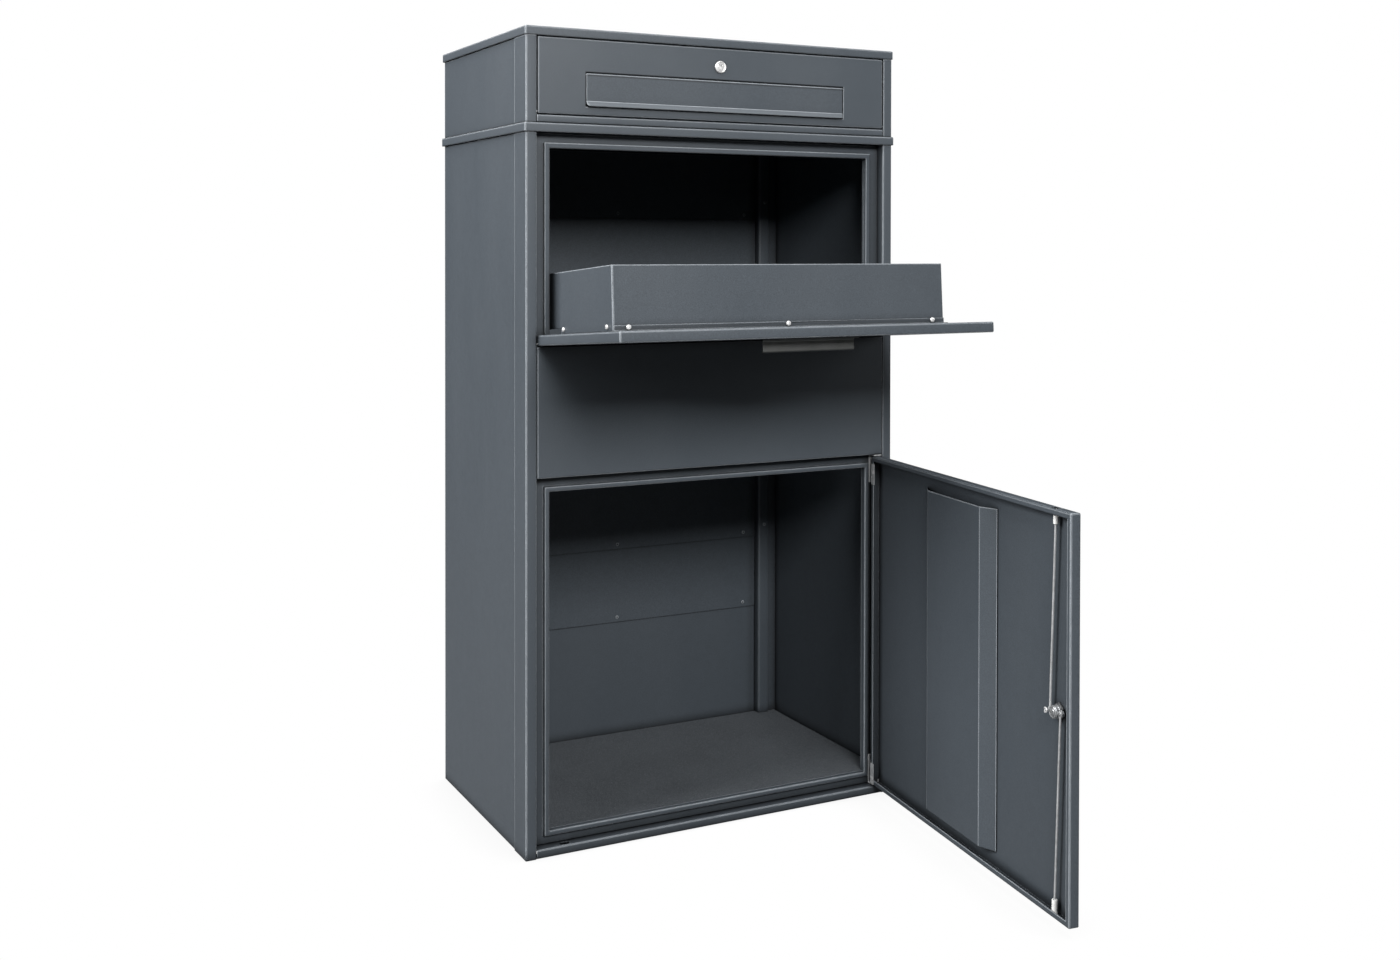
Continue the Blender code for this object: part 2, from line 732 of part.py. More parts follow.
def parcel_hatch():
    half = OPENING - LEAF_SIDE_GAP
    pivot = (0, FRONT + HATCH_PIVOT, HATCH_BOTTOM + HATCH_PIVOT)
    axis = make_empty("hatch_axis", pivot)
    leaf = pan(
        "hatch_leaf",
        (-half, FRONT, HATCH_BOTTOM),
        (half, FRONT + LEAF_DEPTH, HATCH_TOP),
        (0, 1, 0),
        PAINT,
        parent=axis,
        rim=LEAF_RIM,
    )
    hatch_inner_pan(axis)
    leaf_pin_holes(leaf, pivot[2], HATCH_PIVOT, half)
    hinge_pins("hatch", pivot[2], HATCH_PIVOT, half)
    hatch_tray(axis)
    hatch_handle(axis)
    axis.rotation_euler = (HATCH_OPEN, 0, 0)
    return axis


def hatch_inner_pan(axis):
    """The raised inner face of the hatch, which fits inside the opening's lip."""
    half = LIP_INNER - INNER_PAN_GAP
    low = (-half, FRONT + SHEET + GAP, HATCH_SILL + INNER_PAN_GAP)
    high = (half, FRONT + LEAF_DEPTH, HATCH_LINTEL - INNER_PAN_GAP)
    pan("hatch_inner_pan", low, high, (0, -1, 0), PAINT, parent=axis)


def hatch_tray(axis):
    """Three walls bent from one sheet, its foot strip and the screws through both."""
    foot = FRONT + LEAF_DEPTH + GAP
    top = FRONT + LEAF_DEPTH + TRAY_HEIGHT
    low = HATCH_BOTTOM - TRAY_BEHIND
    high = HATCH_BOTTOM + TRAY_REACH
    half = TRAY_HALF_WIDTH
    path = ((-half, foot, low), (-half, foot, high), (half, foot, high), (half, foot, low))
    tray = folded_sheet("hatch_tray", path, (0, 0, 0), (0, top - foot, 0), PAINT, axis, offset=1)
    notch_low = (-half - SHEET, foot - SHEET, low - SHEET)
    notch_high = (half + SHEET, foot + TRAY_NOTCH_DEEP, HATCH_BOTTOM + TRAY_NOTCH_UP)
    cut(tray, box_mesh(notch_low, notch_high), "hinge_notch")
    strip_path = (
        (0, foot + STRIP_HEIGHT, high + GAP),
        (0, foot, high + GAP),
        (0, foot, high + STRIP_FOOT),
    )
    strip_half = half - STRIP_SIDE_GAP
    strip = folded_sheet(
        "hatch_angle_strip", strip_path, (-strip_half, 0, 0), (2 * strip_half, 0, 0), PAINT, axis
    )
    screw_y = FRONT + LEAF_DEPTH + TRAY_SCREW_HEIGHT
    for i, x in enumerate((-half + TRAY_SCREW_INSET, 0.0, half - TRAY_SCREW_INSET)):
        through = (x, screw_y, high)
        cut(tray, screw_hole(through, "Z"), f"front_hole_{i + 1}")
        cut(strip, screw_hole(through, "Z"), f"hole_{i + 1}")
        tray_screw(f"tray_front_screw_{i + 1}", through, "Z", 1, SHEET + GAP, axis)
    for side, sign in (("left", -1), ("right", 1)):
        for i, up in enumerate(SIDE_SCREWS_AT):
            through = (sign * half, screw_y + SHEET, HATCH_BOTTOM + up)
            cut(tray, screw_hole(through, "X"), f"{side}_hole_{i + 1}")
            tray_screw(f"tray_{side}_screw_{i + 1}", through, "X", sign, 0.0, axis)


def screw_hole(through, direction):
    return round_mesh(through, direction, SCREW_HOLE_RADIUS, 6 * SHEET, 12)


def tray_screw(name, through, direction, sign, stand_off, parent):
    """A pan-head screw whose head bears on the outer side of the sheet."""
    along = Vector((1, 0, 0)) if direction == "X" else Vector((0, 0, 1))
    head_centre = Vector(through) + along * sign * (stand_off + GAP + SCREW_HEAD_HEIGHT / 2)
    head = rod(
        name, head_centre, direction, SCREW_HEAD_RADIUS, SCREW_HEAD_HEIGHT, STEEL, parent, 16
    )
    shank_centre = Vector(through) + along * sign * (stand_off - SCREW_SHANK_CENTRE)
    shank = round_mesh(shank_centre, direction, SCREW_SHANK_RADIUS, SCREW_SHANK_LENGTH, 12)
    join(head, shank, "shank")


def hatch_handle(axis):
    """A grip strip on the hatch's outer face: foot, ledge and a turned-down front edge."""
    outer = FRONT - GAP - HANDLE_THICKNESS
    z = HATCH_BOTTOM + HANDLE_UP
    half = HANDLE_WIDTH / 2
    path = (
        (0, outer, z + HANDLE_FOOT),
        (0, outer, z),
        (0, FRONT - HANDLE_REACH, z),
        (0, FRONT - HANDLE_REACH, z - HANDLE_TURN_DOWN),
    )
    folded_sheet(
        "hatch_handle", path, (-half, 0, 0), (2 * half, 0, 0), ALUMINIUM, axis, HANDLE_THICKNESS, 1
    )


# ---------------------------------------------------------------- collection door


def collection_door():
    half = OPENING - LEAF_SIDE_GAP
    pivot = (OPENING - DOOR_PIVOT_SIDE, FRONT + DOOR_PIVOT_DEPTH, (DOOR_BOTTOM + DOOR_TOP) / 2)
    axis = make_empty("door_axis", pivot)
    leaf = pan(
        "door_leaf",
        (-half, FRONT, DOOR_BOTTOM),
        (half, FRONT + LEAF_DEPTH, DOOR_TOP),
        (0, 1, 0),
        PAINT,
        LEAF_RIM,
        axis,
    )
    lock_x = OPENING - LOCK_FROM_HINGE_SIDE
    for side, z in (("upper", DOOR_TOP), ("lower", DOOR_BOTTOM)):
        cut(leaf, rod_slot(z), f"{side}_rod_slot")
        centre = (pivot[0], pivot[1], z)
        cut(leaf, round_mesh(centre, "Z", PIN_HOLE_RADIUS, 8 * SHEET, 16), f"{side}_pin_hole")
        hinge_bracket(side, z, pivot)
    lock_centre = (lock_x, FRONT, LOCK_HEIGHT)
    cut(leaf, round_mesh(lock_centre, "Y", LOCK_HOLE_RADIUS, 8 * SHEET), "lock_hole")
    door_stiffener(axis)
    three_point_lock(axis, lock_x)
    axis.rotation_euler = (0, 0, DOOR_OPEN)
    return axis


def hinge_bracket(side, leaf_edge, pivot):
    """An angle on the frame whose arm reaches over the leaf's edge, with the pivot pin in it."""
    away = 1 if side == "upper" else -1
    near = leaf_edge + away * BRACKET_ARM_GAP
    wall = FRONT + REBATE - GAP
    path = (
        (0, wall, near + away * BRACKET_SHEET - away * BRACKET_HEIGHT),
        (0, wall, near + away * BRACKET_SHEET),
        (0, FRONT + BRACKET_NOSE_SETBACK, near + away * BRACKET_SHEET),
    )
    start = (OPENING - GAP - BRACKET_WIDTH, 0, 0)
    bracket = folded_sheet(
        f"{side}_hinge_bracket",
        path,
        start,
        (BRACKET_WIDTH, 0, 0),
        STEEL,
        None,
        BRACKET_SHEET,
        offset=away,
    )
    over_arm = (pivot[0], pivot[1], near + away * BRACKET_SHEET / 2)
    cut(bracket, round_mesh(over_arm, "Z", PIN_HOLE_RADIUS, 4 * BRACKET_SHEET, 16), "pin_hole")
    outer_end = near + away * (BRACKET_SHEET + GAP)
    inner_end = leaf_edge - away * PIN_GRIP
    centre = (pivot[0], pivot[1], (outer_end + inner_end) / 2)
    rod(f"{side}_hinge_pin", centre, "Z", PIN_RADIUS, abs(outer_end - inner_end), STEEL)


def door_stiffener(axis):
    """A hat section up the door's inside: a flat face between two long sloping sides."""
    floor = FRONT + SHEET + STIFFENER_SEAT
    face = FRONT + LEAF_DEPTH - SHEET / 2
    base_near, base_far = (OPENING - u for u in STIFFENER_BASE)
    face_near, face_far = (OPENING - u for u in STIFFENER_FACE)
    path = ((base_near, floor, 0), (face_near, face, 0), (face_far, face, 0), (base_far, floor, 0))
    run = (0, 0, STIFFENER_TOP - STIFFENER_BOTTOM)
    folded_sheet("door_stiffener", path, (0, 0, STIFFENER_BOTTOM), run, PAINT, axis)


def three_point_lock(door_axis, lock_x):
    """Key lock, crank and the two rods that run out through the door's top and bottom edges."""
    lock_barrel("door_lock_barrel", lock_x, LOCK_HEIGHT, DOOR_LOCK_LENGTH, door_axis)
    lock_nut("door_lock_nut", lock_x, LOCK_HEIGHT, SHEET + GAP, DOOR_NUT_THICKNESS, door_axis)
    crank_y = FRONT + DOOR_LOCK_LENGTH
    place = Vector((lock_x, crank_y, LOCK_HEIGHT))
    axis = make_empty("lock_crank_axis", place, door_axis)
    half = CRANK_RADIUS + CRANK_END
    low = place + Vector((-half, 0, -CRANK_HALF_WIDTH))
    high = place + Vector((half, CRANK_SHEET, CRANK_HALF_WIDTH))
    crank = finish_piece("lock_crank", box_mesh(low, high), STEEL, place, axis)
    disc_centre = place + Vector((0, CRANK_DISC_THICKNESS / 2, 0))
    bolt_centre = place + Vector((0, CRANK_BOLT_LENGTH / 2, 0))
    join(crank, round_mesh(disc_centre, "Y", CRANK_DISC_RADIUS, CRANK_DISC_THICKNESS), "disc")
    join(crank, round_mesh(bolt_centre, "Y", CRANK_BOLT_RADIUS, CRANK_BOLT_LENGTH), "bolt_head")
    for side, sign in (("hinge_side", 1), ("free_side", -1)):
        pin_centre = place + Vector((sign * CRANK_RADIUS, CRANK_PIN_CENTRE, 0))
        join(crank, round_mesh(pin_centre, "Y", CRANK_PIN_RADIUS, CRANK_PIN_LENGTH, 16), side)
        lock_rod(sign, pin_centre.x, axis)


def lock_rod(sign, pin_x, crank_axis):
    """A rod with a flat eye on the crank's pin, leaning so that its tip meets the slot."""
    name = "upper" if sign > 0 else "lower"
    door_edge = DOOR_TOP if sign > 0 else DOOR_BOTTOM
    reach = abs(door_edge - LOCK_HEIGHT) - SHEET - 2 * GAP
    length = hypot(reach, CRANK_RADIUS)
    lean = atan2(CRANK_RADIUS, reach)
    place = (pin_x, FRONT + ROD_DEPTH, LOCK_HEIGHT)
    axis = make_empty(f"{name}_rod_axis", place, crank_axis)
    bar_length = length - ROD_EYE_OVERLAP - ROD_TIP_CAP
    along = Vector(place) + Vector((0, 0, sign * (ROD_EYE_OVERLAP + bar_length / 2)))
    bar = finish_piece(
        f"{name}_lock_rod", round_mesh(along, "Z", ROD_RADIUS, bar_length, 16), STEEL, place, axis
    )
    smooth(bar)
    join(bar, round_mesh(place, "Y", ROD_EYE_RADIUS, ROD_EYE_THICKNESS, 16), "eye")
    eye_hole = round_mesh(place, "Y", CRANK_PIN_RADIUS + GAP, 5 * ROD_EYE_THICKNESS, 16)
    cut(bar, eye_hole, "eye_hole")
    tip_centre = Vector(place) + Vector((0, 0, sign * (length - ROD_TIP_LENGTH / 2)))
    tip = rod(
        f"{name}_rod_tip", tip_centre, "Z", ROD_TIP_RADIUS, ROD_TIP_LENGTH, WHITE_PLASTIC, axis, 16
    )
    foot_centre = Vector(place) + Vector((0, 0, sign * (length - ROD_TIP_FOOT / 2)))
    join(tip, round_mesh(foot_centre, "Z", ROD_TIP_FOOT_RADIUS, ROD_TIP_FOOT, 16), "foot")
    bore_centre = tip_centre - Vector((0, 0, sign * (ROD_TIP_CAP - GAP)))
    cut(tip, round_mesh(bore_centre, "Z", ROD_RADIUS + GAP, ROD_TIP_LENGTH, 16), "rod_bore")
    axis.rotation_euler = (0, -lean, 0)


clear_scene()
PARTS = make_collection("parcel_drop_box")
CUTTERS = make_collection("cutters")
cabinet_body()
letter_module()
letter_door()
parcel_hatch()
collection_door()
bpy.context.view_layer.update()
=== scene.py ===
"""Looks of the parcel drop box: finishes, fine sheet-metal detail, hardware, light and camera."""

import json
from math import cos, pi, radians, sin

import bmesh
import bpy
from mathutils import Matrix, Vector


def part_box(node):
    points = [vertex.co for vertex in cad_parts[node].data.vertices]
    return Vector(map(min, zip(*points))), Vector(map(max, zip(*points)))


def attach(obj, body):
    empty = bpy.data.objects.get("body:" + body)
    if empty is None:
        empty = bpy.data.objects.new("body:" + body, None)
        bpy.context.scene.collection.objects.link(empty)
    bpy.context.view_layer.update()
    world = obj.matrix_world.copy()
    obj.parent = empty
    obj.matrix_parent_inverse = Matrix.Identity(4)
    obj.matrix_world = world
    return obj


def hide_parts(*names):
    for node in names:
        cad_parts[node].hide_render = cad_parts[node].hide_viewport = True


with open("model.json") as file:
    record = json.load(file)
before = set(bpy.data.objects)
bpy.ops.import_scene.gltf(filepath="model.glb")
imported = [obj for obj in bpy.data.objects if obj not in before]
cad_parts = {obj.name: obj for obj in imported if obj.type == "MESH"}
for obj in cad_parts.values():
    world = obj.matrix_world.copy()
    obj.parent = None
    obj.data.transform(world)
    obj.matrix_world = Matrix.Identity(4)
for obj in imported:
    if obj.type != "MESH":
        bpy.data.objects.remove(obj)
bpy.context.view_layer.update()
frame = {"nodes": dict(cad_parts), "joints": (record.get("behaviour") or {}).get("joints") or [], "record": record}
SCENE = bpy.context.scene
JOINTS = {joint["name"]: joint for joint in frame["joints"]}
SLOTS = {part["node"]: part["material_slot"] for part in frame["record"]["subparts"]}

# Driving sizes of the box, in metres
FRONT = -0.200
REAR = 0.200
OPENING = 0.2935
REBATE = 0.018
CLEARANCE = 0.0003
BRACKET_SHEET = 0.0014
LEAF_DEPTH = 0.0153
NUT_SEAT = 0.0015
MAIL_LOCK_HEIGHT = 1.157
MAIL_LOCK_LENGTH = 0.0200
MAIL_NUT_THICKNESS = 0.0030
DOOR_LOCK_HEIGHT = 0.281
DOOR_LOCK_LENGTH = 0.0049
DOOR_NUT_THICKNESS = 0.0028
LOCK_FROM_HINGE_SIDE = 0.541
LOCK_X = OPENING - LOCK_FROM_HINGE_SIDE
THREAD_RADIUS = 0.0083
CRANK_ARM = 0.0125
CRANK_EAR = 0.0040
CRANK_SHEET = 0.0014
SLEEVE_LENGTH = 0.0190
SCREW_TURN = radians(17)


# ------------------------------------------------------------------ materials


class Graph:
    """Short hand for building a material's node tree."""

    def __init__(self, name, roughness=0.5, metallic=0.0):
        self.material = bpy.data.materials.new(name)
        self.material.use_nodes = True
        self.tree = self.material.node_tree
        self.shader = self.tree.nodes["Principled BSDF"]
        self.shader.inputs["Roughness"].default_value = roughness
        self.shader.inputs["Metallic"].default_value = metallic
        self.place = self.add("ShaderNodeTexCoord").outputs["Object"]

    def add(self, kind, **settings):
        node = self.tree.nodes.new(kind)
        for key, value in settings.items():
            setattr(node, key, value)
        return node

    def link(self, source, target):
        self.tree.links.new(source, target)

    def noise(self, scale, detail=3.0, roughness=0.5, stretch=None):
        node = self.add("ShaderNodeTexNoise")
        node.inputs["Scale"].default_value = scale
        node.inputs["Detail"].default_value = detail
        node.inputs["Roughness"].default_value = roughness
        source = self.place
        if stretch:
            mapping = self.add("ShaderNodeMapping")
            mapping.inputs["Scale"].default_value = stretch
            self.link(source, mapping.inputs["Vector"])
            source = mapping.outputs["Vector"]
        self.link(source, node.inputs["Vector"])
        return node.outputs["Fac"]

    def ramp(self, source, low, high, at=(0.3, 0.7)):
        """Colours or values between two ends, chosen by a noise."""
        node = self.add("ShaderNodeValToRGB")
        for element, where, value in zip(node.color_ramp.elements, at, (low, high)):
            element.position = where
            element.color = (*value, 1.0) if isinstance(value, tuple) else (value, value, value, 1.0)
        self.link(source, node.inputs["Fac"])
        return node.outputs["Color"]

    def mix(self, factor, low, high, blend="MIX"):
        node = self.add("ShaderNodeMix", data_type="RGBA", blend_type=blend)
        for socket, value in ((0, factor), (6, low), (7, high)):
            if isinstance(value, bpy.types.NodeSocket):
                self.link(value, node.inputs[socket])
            elif socket == 0:
                node.inputs[socket].default_value = value
            else:
                node.inputs[socket].default_value = (*value, 1.0)
        return node.outputs[2]

    def math(self, operation, *values):
        node = self.add("ShaderNodeMath", operation=operation)
        for socket, value in zip(node.inputs, values):
            if isinstance(value, bpy.types.NodeSocket):
                self.link(value, socket)
            else:
                socket.default_value = value
        return node.outputs[0]

    def colour(self, value):
        self.link(value, self.shader.inputs["Base Color"])

    def rough(self, value):
        self.link(value, self.shader.inputs["Roughness"])

    def bump(self, heights):
        """Stacks bumps: (height, strength, distance) from coarse to fine."""
        normal = None
        for height, strength, distance in heights:
            node = self.add("ShaderNodeBump")
            node.inputs["Strength"].default_value = strength
            node.inputs["Distance"].default_value = distance
            self.link(height, node.inputs["Height"])
            if normal:
                self.link(normal, node.inputs["Normal"])
            normal = node.outputs["Normal"]
        self.link(normal, self.shader.inputs["Normal"])


# Direction of the light that powder_coat paints its edge highlights and edge shade for.
EDGE_LIGHT = (-0.62, -0.25, 0.74)


def powder_coat(name, base, rough=0.44, highlight_strength=0.90, highlight_colour=(0.40, 0.43, 0.46), grain=1.0):
    """Satin polyester powder coat: orange peel and grain, with painted highlights on edges turned towards
    EDGE_LIGHT and along Y, painted shade on edges turned from it, and painted shade in gaps, inside corners and
    recesses.
    """
    g = Graph(name)
    broad = g.noise(2.2, 2.0)
    speckle = g.noise(780.0, 3.0, 0.75)
    mottle = g.noise(60.0, 4.0, 0.6)
    colour = g.ramp(broad, tuple(c * 0.93 for c in base), tuple(c * 1.07 for c in base))
    light = tuple(c * (1 + 0.42 * grain) for c in base)
    dark = tuple(c * (1 - 0.36 * grain) for c in base)
    colour = g.mix(0.62, colour, g.ramp(speckle, dark, light, (0.36, 0.64)))
    colour = g.mix(g.ramp(mottle, 0.0, 0.22, (0.40, 0.75)), colour, tuple(c * 0.80 for c in base))
    # Painted shade: an AO node darkens gaps, inside corners and recesses towards 0.14 of the base colour.
    shade_ao = g.add("ShaderNodeAmbientOcclusion", samples=6)
    shade_ao.inputs["Distance"].default_value = 0.018
    open_air = g.ramp(shade_ao.outputs["AO"], 0.0, 1.0, (0.40, 0.93))
    colour = g.mix(open_air, tuple(c * 0.14 for c in base), colour)
    # Painted highlight and painted shade on edges: the bevel normal's tilt from the true normal, held against
    # EDGE_LIGHT and along Y, lightens edges turned towards the light and darkens edges turned from it.
    bevel = g.add("ShaderNodeBevel", samples=6)
    bevel.inputs["Radius"].default_value = 0.0021
    geometry = g.add("ShaderNodeNewGeometry")
    tilt = g.add("ShaderNodeVectorMath", operation="SUBTRACT")
    g.link(bevel.outputs["Normal"], tilt.inputs[0])
    g.link(geometry.outputs["Normal"], tilt.inputs[1])
    upward = g.add("ShaderNodeVectorMath", operation="DOT_PRODUCT")
    upward.inputs[1].default_value = EDGE_LIGHT
    g.link(tilt.outputs["Vector"], upward.inputs[0])
    parts = g.add("ShaderNodeSeparateXYZ")
    g.link(tilt.outputs["Vector"], parts.inputs["Vector"])
    sideways = g.math("MULTIPLY", g.math("ABSOLUTE", parts.outputs["Y"]), 0.8)
    catch = g.math("ADD", upward.outputs["Value"], sideways)
    painted_highlight = g.math("MINIMUM", g.math("MAXIMUM", g.math("MULTIPLY", catch, 8.0), 0.0), 1.0)
    painted_edge_shade = g.math("MINIMUM", g.math("MAXIMUM", g.math("MULTIPLY", catch, -8.0), 0.0), 1.0)
    # The painted highlight is broken up by the mottle and kept out of recesses by the AO.
    painted_highlight = g.math("MULTIPLY", painted_highlight, g.ramp(mottle, 0.75, 1.0, (0.35, 0.65)))
    painted_highlight = g.math("MULTIPLY", painted_highlight, g.ramp(shade_ao.outputs["AO"], 0.0, 1.0, (0.66, 0.90)))
    # Painted edge shade towards 0.14 of the base colour, then the painted highlight towards the highlight colour.
    colour = g.mix(g.math("MULTIPLY", painted_edge_shade, 0.90), colour, tuple(c * 0.14 for c in base))
    g.colour(g.mix(g.math("MULTIPLY", painted_highlight, highlight_strength), colour, highlight_colour))
    smear = g.noise(6.0, 4.0, 0.55, (1.0, 1.0, 0.35))
    g.rough(g.ramp(smear, rough - 0.06, rough + 0.08, (0.35, 0.7)))
    peel = g.noise(420.0, 2.0, 0.5)
    sheet = g.noise(3.2, 1.0, 0.4)
    g.bump(((sheet, 0.10, 0.004), (peel, 0.14, 0.0005), (speckle, 0.22, 0.0002)))
    g.shader.inputs["Specular IOR Level"].default_value = 0.45
    return g.material


def grained_floor(name):
    """Dark studded rubber sheet with fine light grit in it."""
    g = Graph(name, 0.85)
    grit = g.noise(900.0, 3.0, 0.7)
    cloud = g.noise(9.0, 4.0, 0.6)
    base = g.ramp(cloud, (0.045, 0.052, 0.060), (0.062, 0.071, 0.081))
    g.colour(g.mix(g.ramp(grit, 0.0, 0.75, (0.50, 0.68)), base, (0.24, 0.255, 0.27)))
    g.rough(g.ramp(grit, 0.78, 0.95))
    cells = g.add("ShaderNodeTexVoronoi")
    cells.inputs["Scale"].default_value = 520.0
    g.link(g.place, cells.inputs["Vector"])
    g.bump(((cells.outputs["Distance"], 0.55, 0.0006), (grit, 0.5, 0.0003)))
    return g.material


def plated_steel(name, base=(0.60, 0.61, 0.62), rough=0.30, streak=(1.0, 1.0, 60.0), stain=0.25, metal=0.7):
    """Bright zinc plating with drawing marks and cloudy passivation."""
    g = Graph(name, rough, metal)
    cloud = g.noise(120.0, 4.0, 0.6)
    marks = g.noise(260.0, 3.0, 0.6, streak)
    tone = g.ramp(cloud, tuple(c * (1 - stain) for c in base), tuple(min(1.0, c * 1.10) for c in base))
    g.colour(g.mix(g.ramp(marks, 0.0, 0.35, (0.45, 0.7)), tone, tuple(c * 0.72 for c in base)))
    g.rough(g.ramp(marks, rough - 0.07, rough + 0.14))
    g.bump(((cloud, 0.08, 0.0003), (marks, 0.16, 0.0001)))
    return g.material


def lathe_chrome(name):
    """Turned and chromed lock face: fine rings, small scratches."""
    g = Graph(name, 0.34, 0.80)
    smear = g.noise(180.0, 4.0, 0.6)
    turned = g.noise(900.0, 2.0, 0.6)
    g.colour(g.ramp(smear, (0.78, 0.78, 0.78), (0.95, 0.95, 0.94)))
    g.rough(g.ramp(smear, 0.30, 0.48))
    g.bump(((turned, 0.10, 0.0001),))
    return g.material


def satin_aluminium(name):
    """Dark grey metal strip, brushed along its length."""
    g = Graph(name, 0.42, 1.0)
    brush = g.noise(90.0, 5.0, 0.7, (0.25, 14.0, 14.0))
    cloud = g.noise(30.0, 3.0)
    tone = g.ramp(cloud, (0.20, 0.205, 0.20), (0.25, 0.255, 0.25))
    g.colour(g.mix(g.ramp(brush, 0.0, 0.6, (0.4, 0.7)), tone, (0.14, 0.145, 0.14)))
    g.rough(g.ramp(brush, 0.34, 0.52))
    g.bump(((brush, 0.25, 0.0001),))
    return g.material


def white_polymer(name):
    """Moulded white sleeve, slightly waxy, with rod grease marks."""
    g = Graph(name, 0.38)
    cloud = g.noise(160.0, 4.0, 0.6)
    scuff = g.noise(600.0, 3.0, 0.7, (1.0, 1.0, 0.15))
    tone = g.ramp(cloud, (0.76, 0.76, 0.74), (0.88, 0.88, 0.87))
    g.colour(g.mix(g.ramp(scuff, 0.0, 0.5, (0.62, 0.8)), tone, (0.45, 0.45, 0.43)))
    g.rough(g.ramp(cloud, 0.30, 0.50))
    g.shader.inputs["Subsurface Weight"].default_value = 0.08
    g.shader.inputs["Subsurface Radius"].default_value = (0.0015, 0.0015, 0.0015)
    g.bump(((scuff, 0.12, 0.0002),))
    return g.material


def painted_hole_shade(name):
    """Near-black painted shade for the inside of a keyway or a rivet's mandrel hole."""
    g = Graph(name, 0.5, 0.6)
    g.colour(g.ramp(g.noise(300.0), (0.010, 0.010, 0.011), (0.030, 0.030, 0.031)))
    return g.material


PAINT = powder_coat("powder_coat_outside", (0.060, 0.071, 0.083))
# A lighter copy of the outside paint for the letter flap's lip: painted highlight for the light that the lip's
# upward slope catches.
LIGHTER_LIP_PAINT = powder_coat(
    "powder_coat_painted_highlight_lip", (0.125, 0.14, 0.155), 0.36, 0.9, (0.50, 0.53, 0.56), 0.6
)
INSIDE = powder_coat("powder_coat_inside", (0.050, 0.060, 0.071), 0.50, 0.30)
RIVET_PAINT = powder_coat("powder_coat_rivet", (0.22, 0.24, 0.26), 0.42, 0.3)
FLOOR = grained_floor("floor_rubber_grained")
STEEL = plated_steel("zinc_plate", (0.62, 0.63, 0.64), 0.34, metal=0.88)
ROD_STEEL = plated_steel("zinc_plate_rod", (0.74, 0.75, 0.76), 0.34, (1.0, 1.0, 0.05), metal=0.55)
DULL_STEEL = plated_steel("zinc_plate_dull", (0.46, 0.47, 0.48), 0.46, (1.0, 1.0, 8.0), 0.35, 0.10)
NUT_STEEL = plated_steel("zinc_plate_nut", (0.16, 0.165, 0.17), 0.46, (1.0, 1.0, 8.0), 0.35, 0.6)
BRIGHT = plated_steel("screw_plate", (0.80, 0.80, 0.80), 0.32, (1.0, 1.0, 1.0), 0.08, 0.45)
CHROME = lathe_chrome("lock_chrome_turned")
ALUMINIUM = satin_aluminium("handle_aluminium_brushed")
WHITE = white_polymer("sleeve_polymer")
HOLE_SHADE = painted_hole_shade("painted_shade_keyway_hole")
LOOKS = {
    "body_paint": PAINT,
    "inner_paint": INSIDE,
    "floor_rubber": FLOOR,
    "zinc_steel": STEEL,
    "lock_chrome": CHROME,
    "handle_metal": ALUMINIUM,
    "white_plastic": WHITE,
}
OWN_LOOKS = {
    "upper_hinge_bracket": DULL_STEEL,
    "lower_hinge_bracket": DULL_STEEL,
    "upper_lock_rod": ROD_STEEL,
    "lower_lock_rod": ROD_STEEL,
    "letter_flap_pin": DULL_STEEL,
}


# ------------------------------------------------------------------ CAD nodes


SHALLOW_FOLD = {"door_stiffener": 12}


def refine(node, edge=0.00042, fold=50):
    """Merges the flat triangles, rolls the cut sheet edges and keeps flat faces flat in shading."""
    weld = node.modifiers.new("weld", "WELD")
    weld.merge_threshold = 0.00001
    planar = node.modifiers.new("planar", "DECIMATE")
    planar.decimate_type = "DISSOLVE"
    planar.angle_limit = radians(0.5)
    rolled = node.modifiers.new("rolled_edge", "BEVEL")
    rolled.width = edge
    rolled.segments = 2
    rolled.limit_method = "ANGLE"
    rolled.angle_limit = radians(fold)
    rolled.use_clamp_overlap = True
    weighted = node.modifiers.new("weighted", "WEIGHTED_NORMAL")
    weighted.keep_sharp = True
    weighted.weight = 50


for name, node in frame["nodes"].items():
    node.data.materials.clear()
    node.data.materials.append(OWN_LOOKS.get(name, LOOKS[SLOTS[name]]))
    node.data.shade_smooth()
    node.data.set_sharp_from_angle(angle=radians(19))
    refine(node, fold=SHALLOW_FOLD.get(name, 50))


# ------------------------------------------------------------------ hardware


def opened(joint_name):
    """The turn that takes a point of the closed box to the rest pose of this joint's body."""
    joint = JOINTS[joint_name]
    pivot = Vector(joint["pos_m"])
    turn = Matrix.Rotation(radians(-joint["range_deg"][0]), 4, Vector(joint["axis"]))
    return Matrix.Translation(pivot) @ turn @ Matrix.Translation(-pivot)


STILL = Matrix.Identity(4)
HATCH = opened("hatch_hinge")
DOOR = opened("door_hinge")


def put(name, shape, material, body, place=STILL, stands_for=()):
    """Makes the piece from a bmesh in the closed box's coordinates, moves it to rest and lets it ride."""
    bmesh.ops.recalc_face_normals(shape, faces=shape.faces)
    mesh = bpy.data.meshes.new(name)
    shape.to_mesh(mesh)
    shape.free()
    mesh.transform(place)
    mesh.materials.append(material)
    mesh.shade_smooth()
    mesh.set_sharp_from_angle(angle=radians(50))
    piece = bpy.data.objects.new(name, mesh)
    SCENE.collection.objects.link(piece)
    weighted = piece.modifiers.new("weighted", "WEIGHTED_NORMAL")
    weighted.keep_sharp = True
    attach(piece, body)
    if stands_for:
        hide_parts(*stands_for)
    return piece


def facing(direction):
    """The turn that points local Z along a direction."""
    return Vector(direction).to_track_quat("Z", "Y").to_matrix().to_4x4()


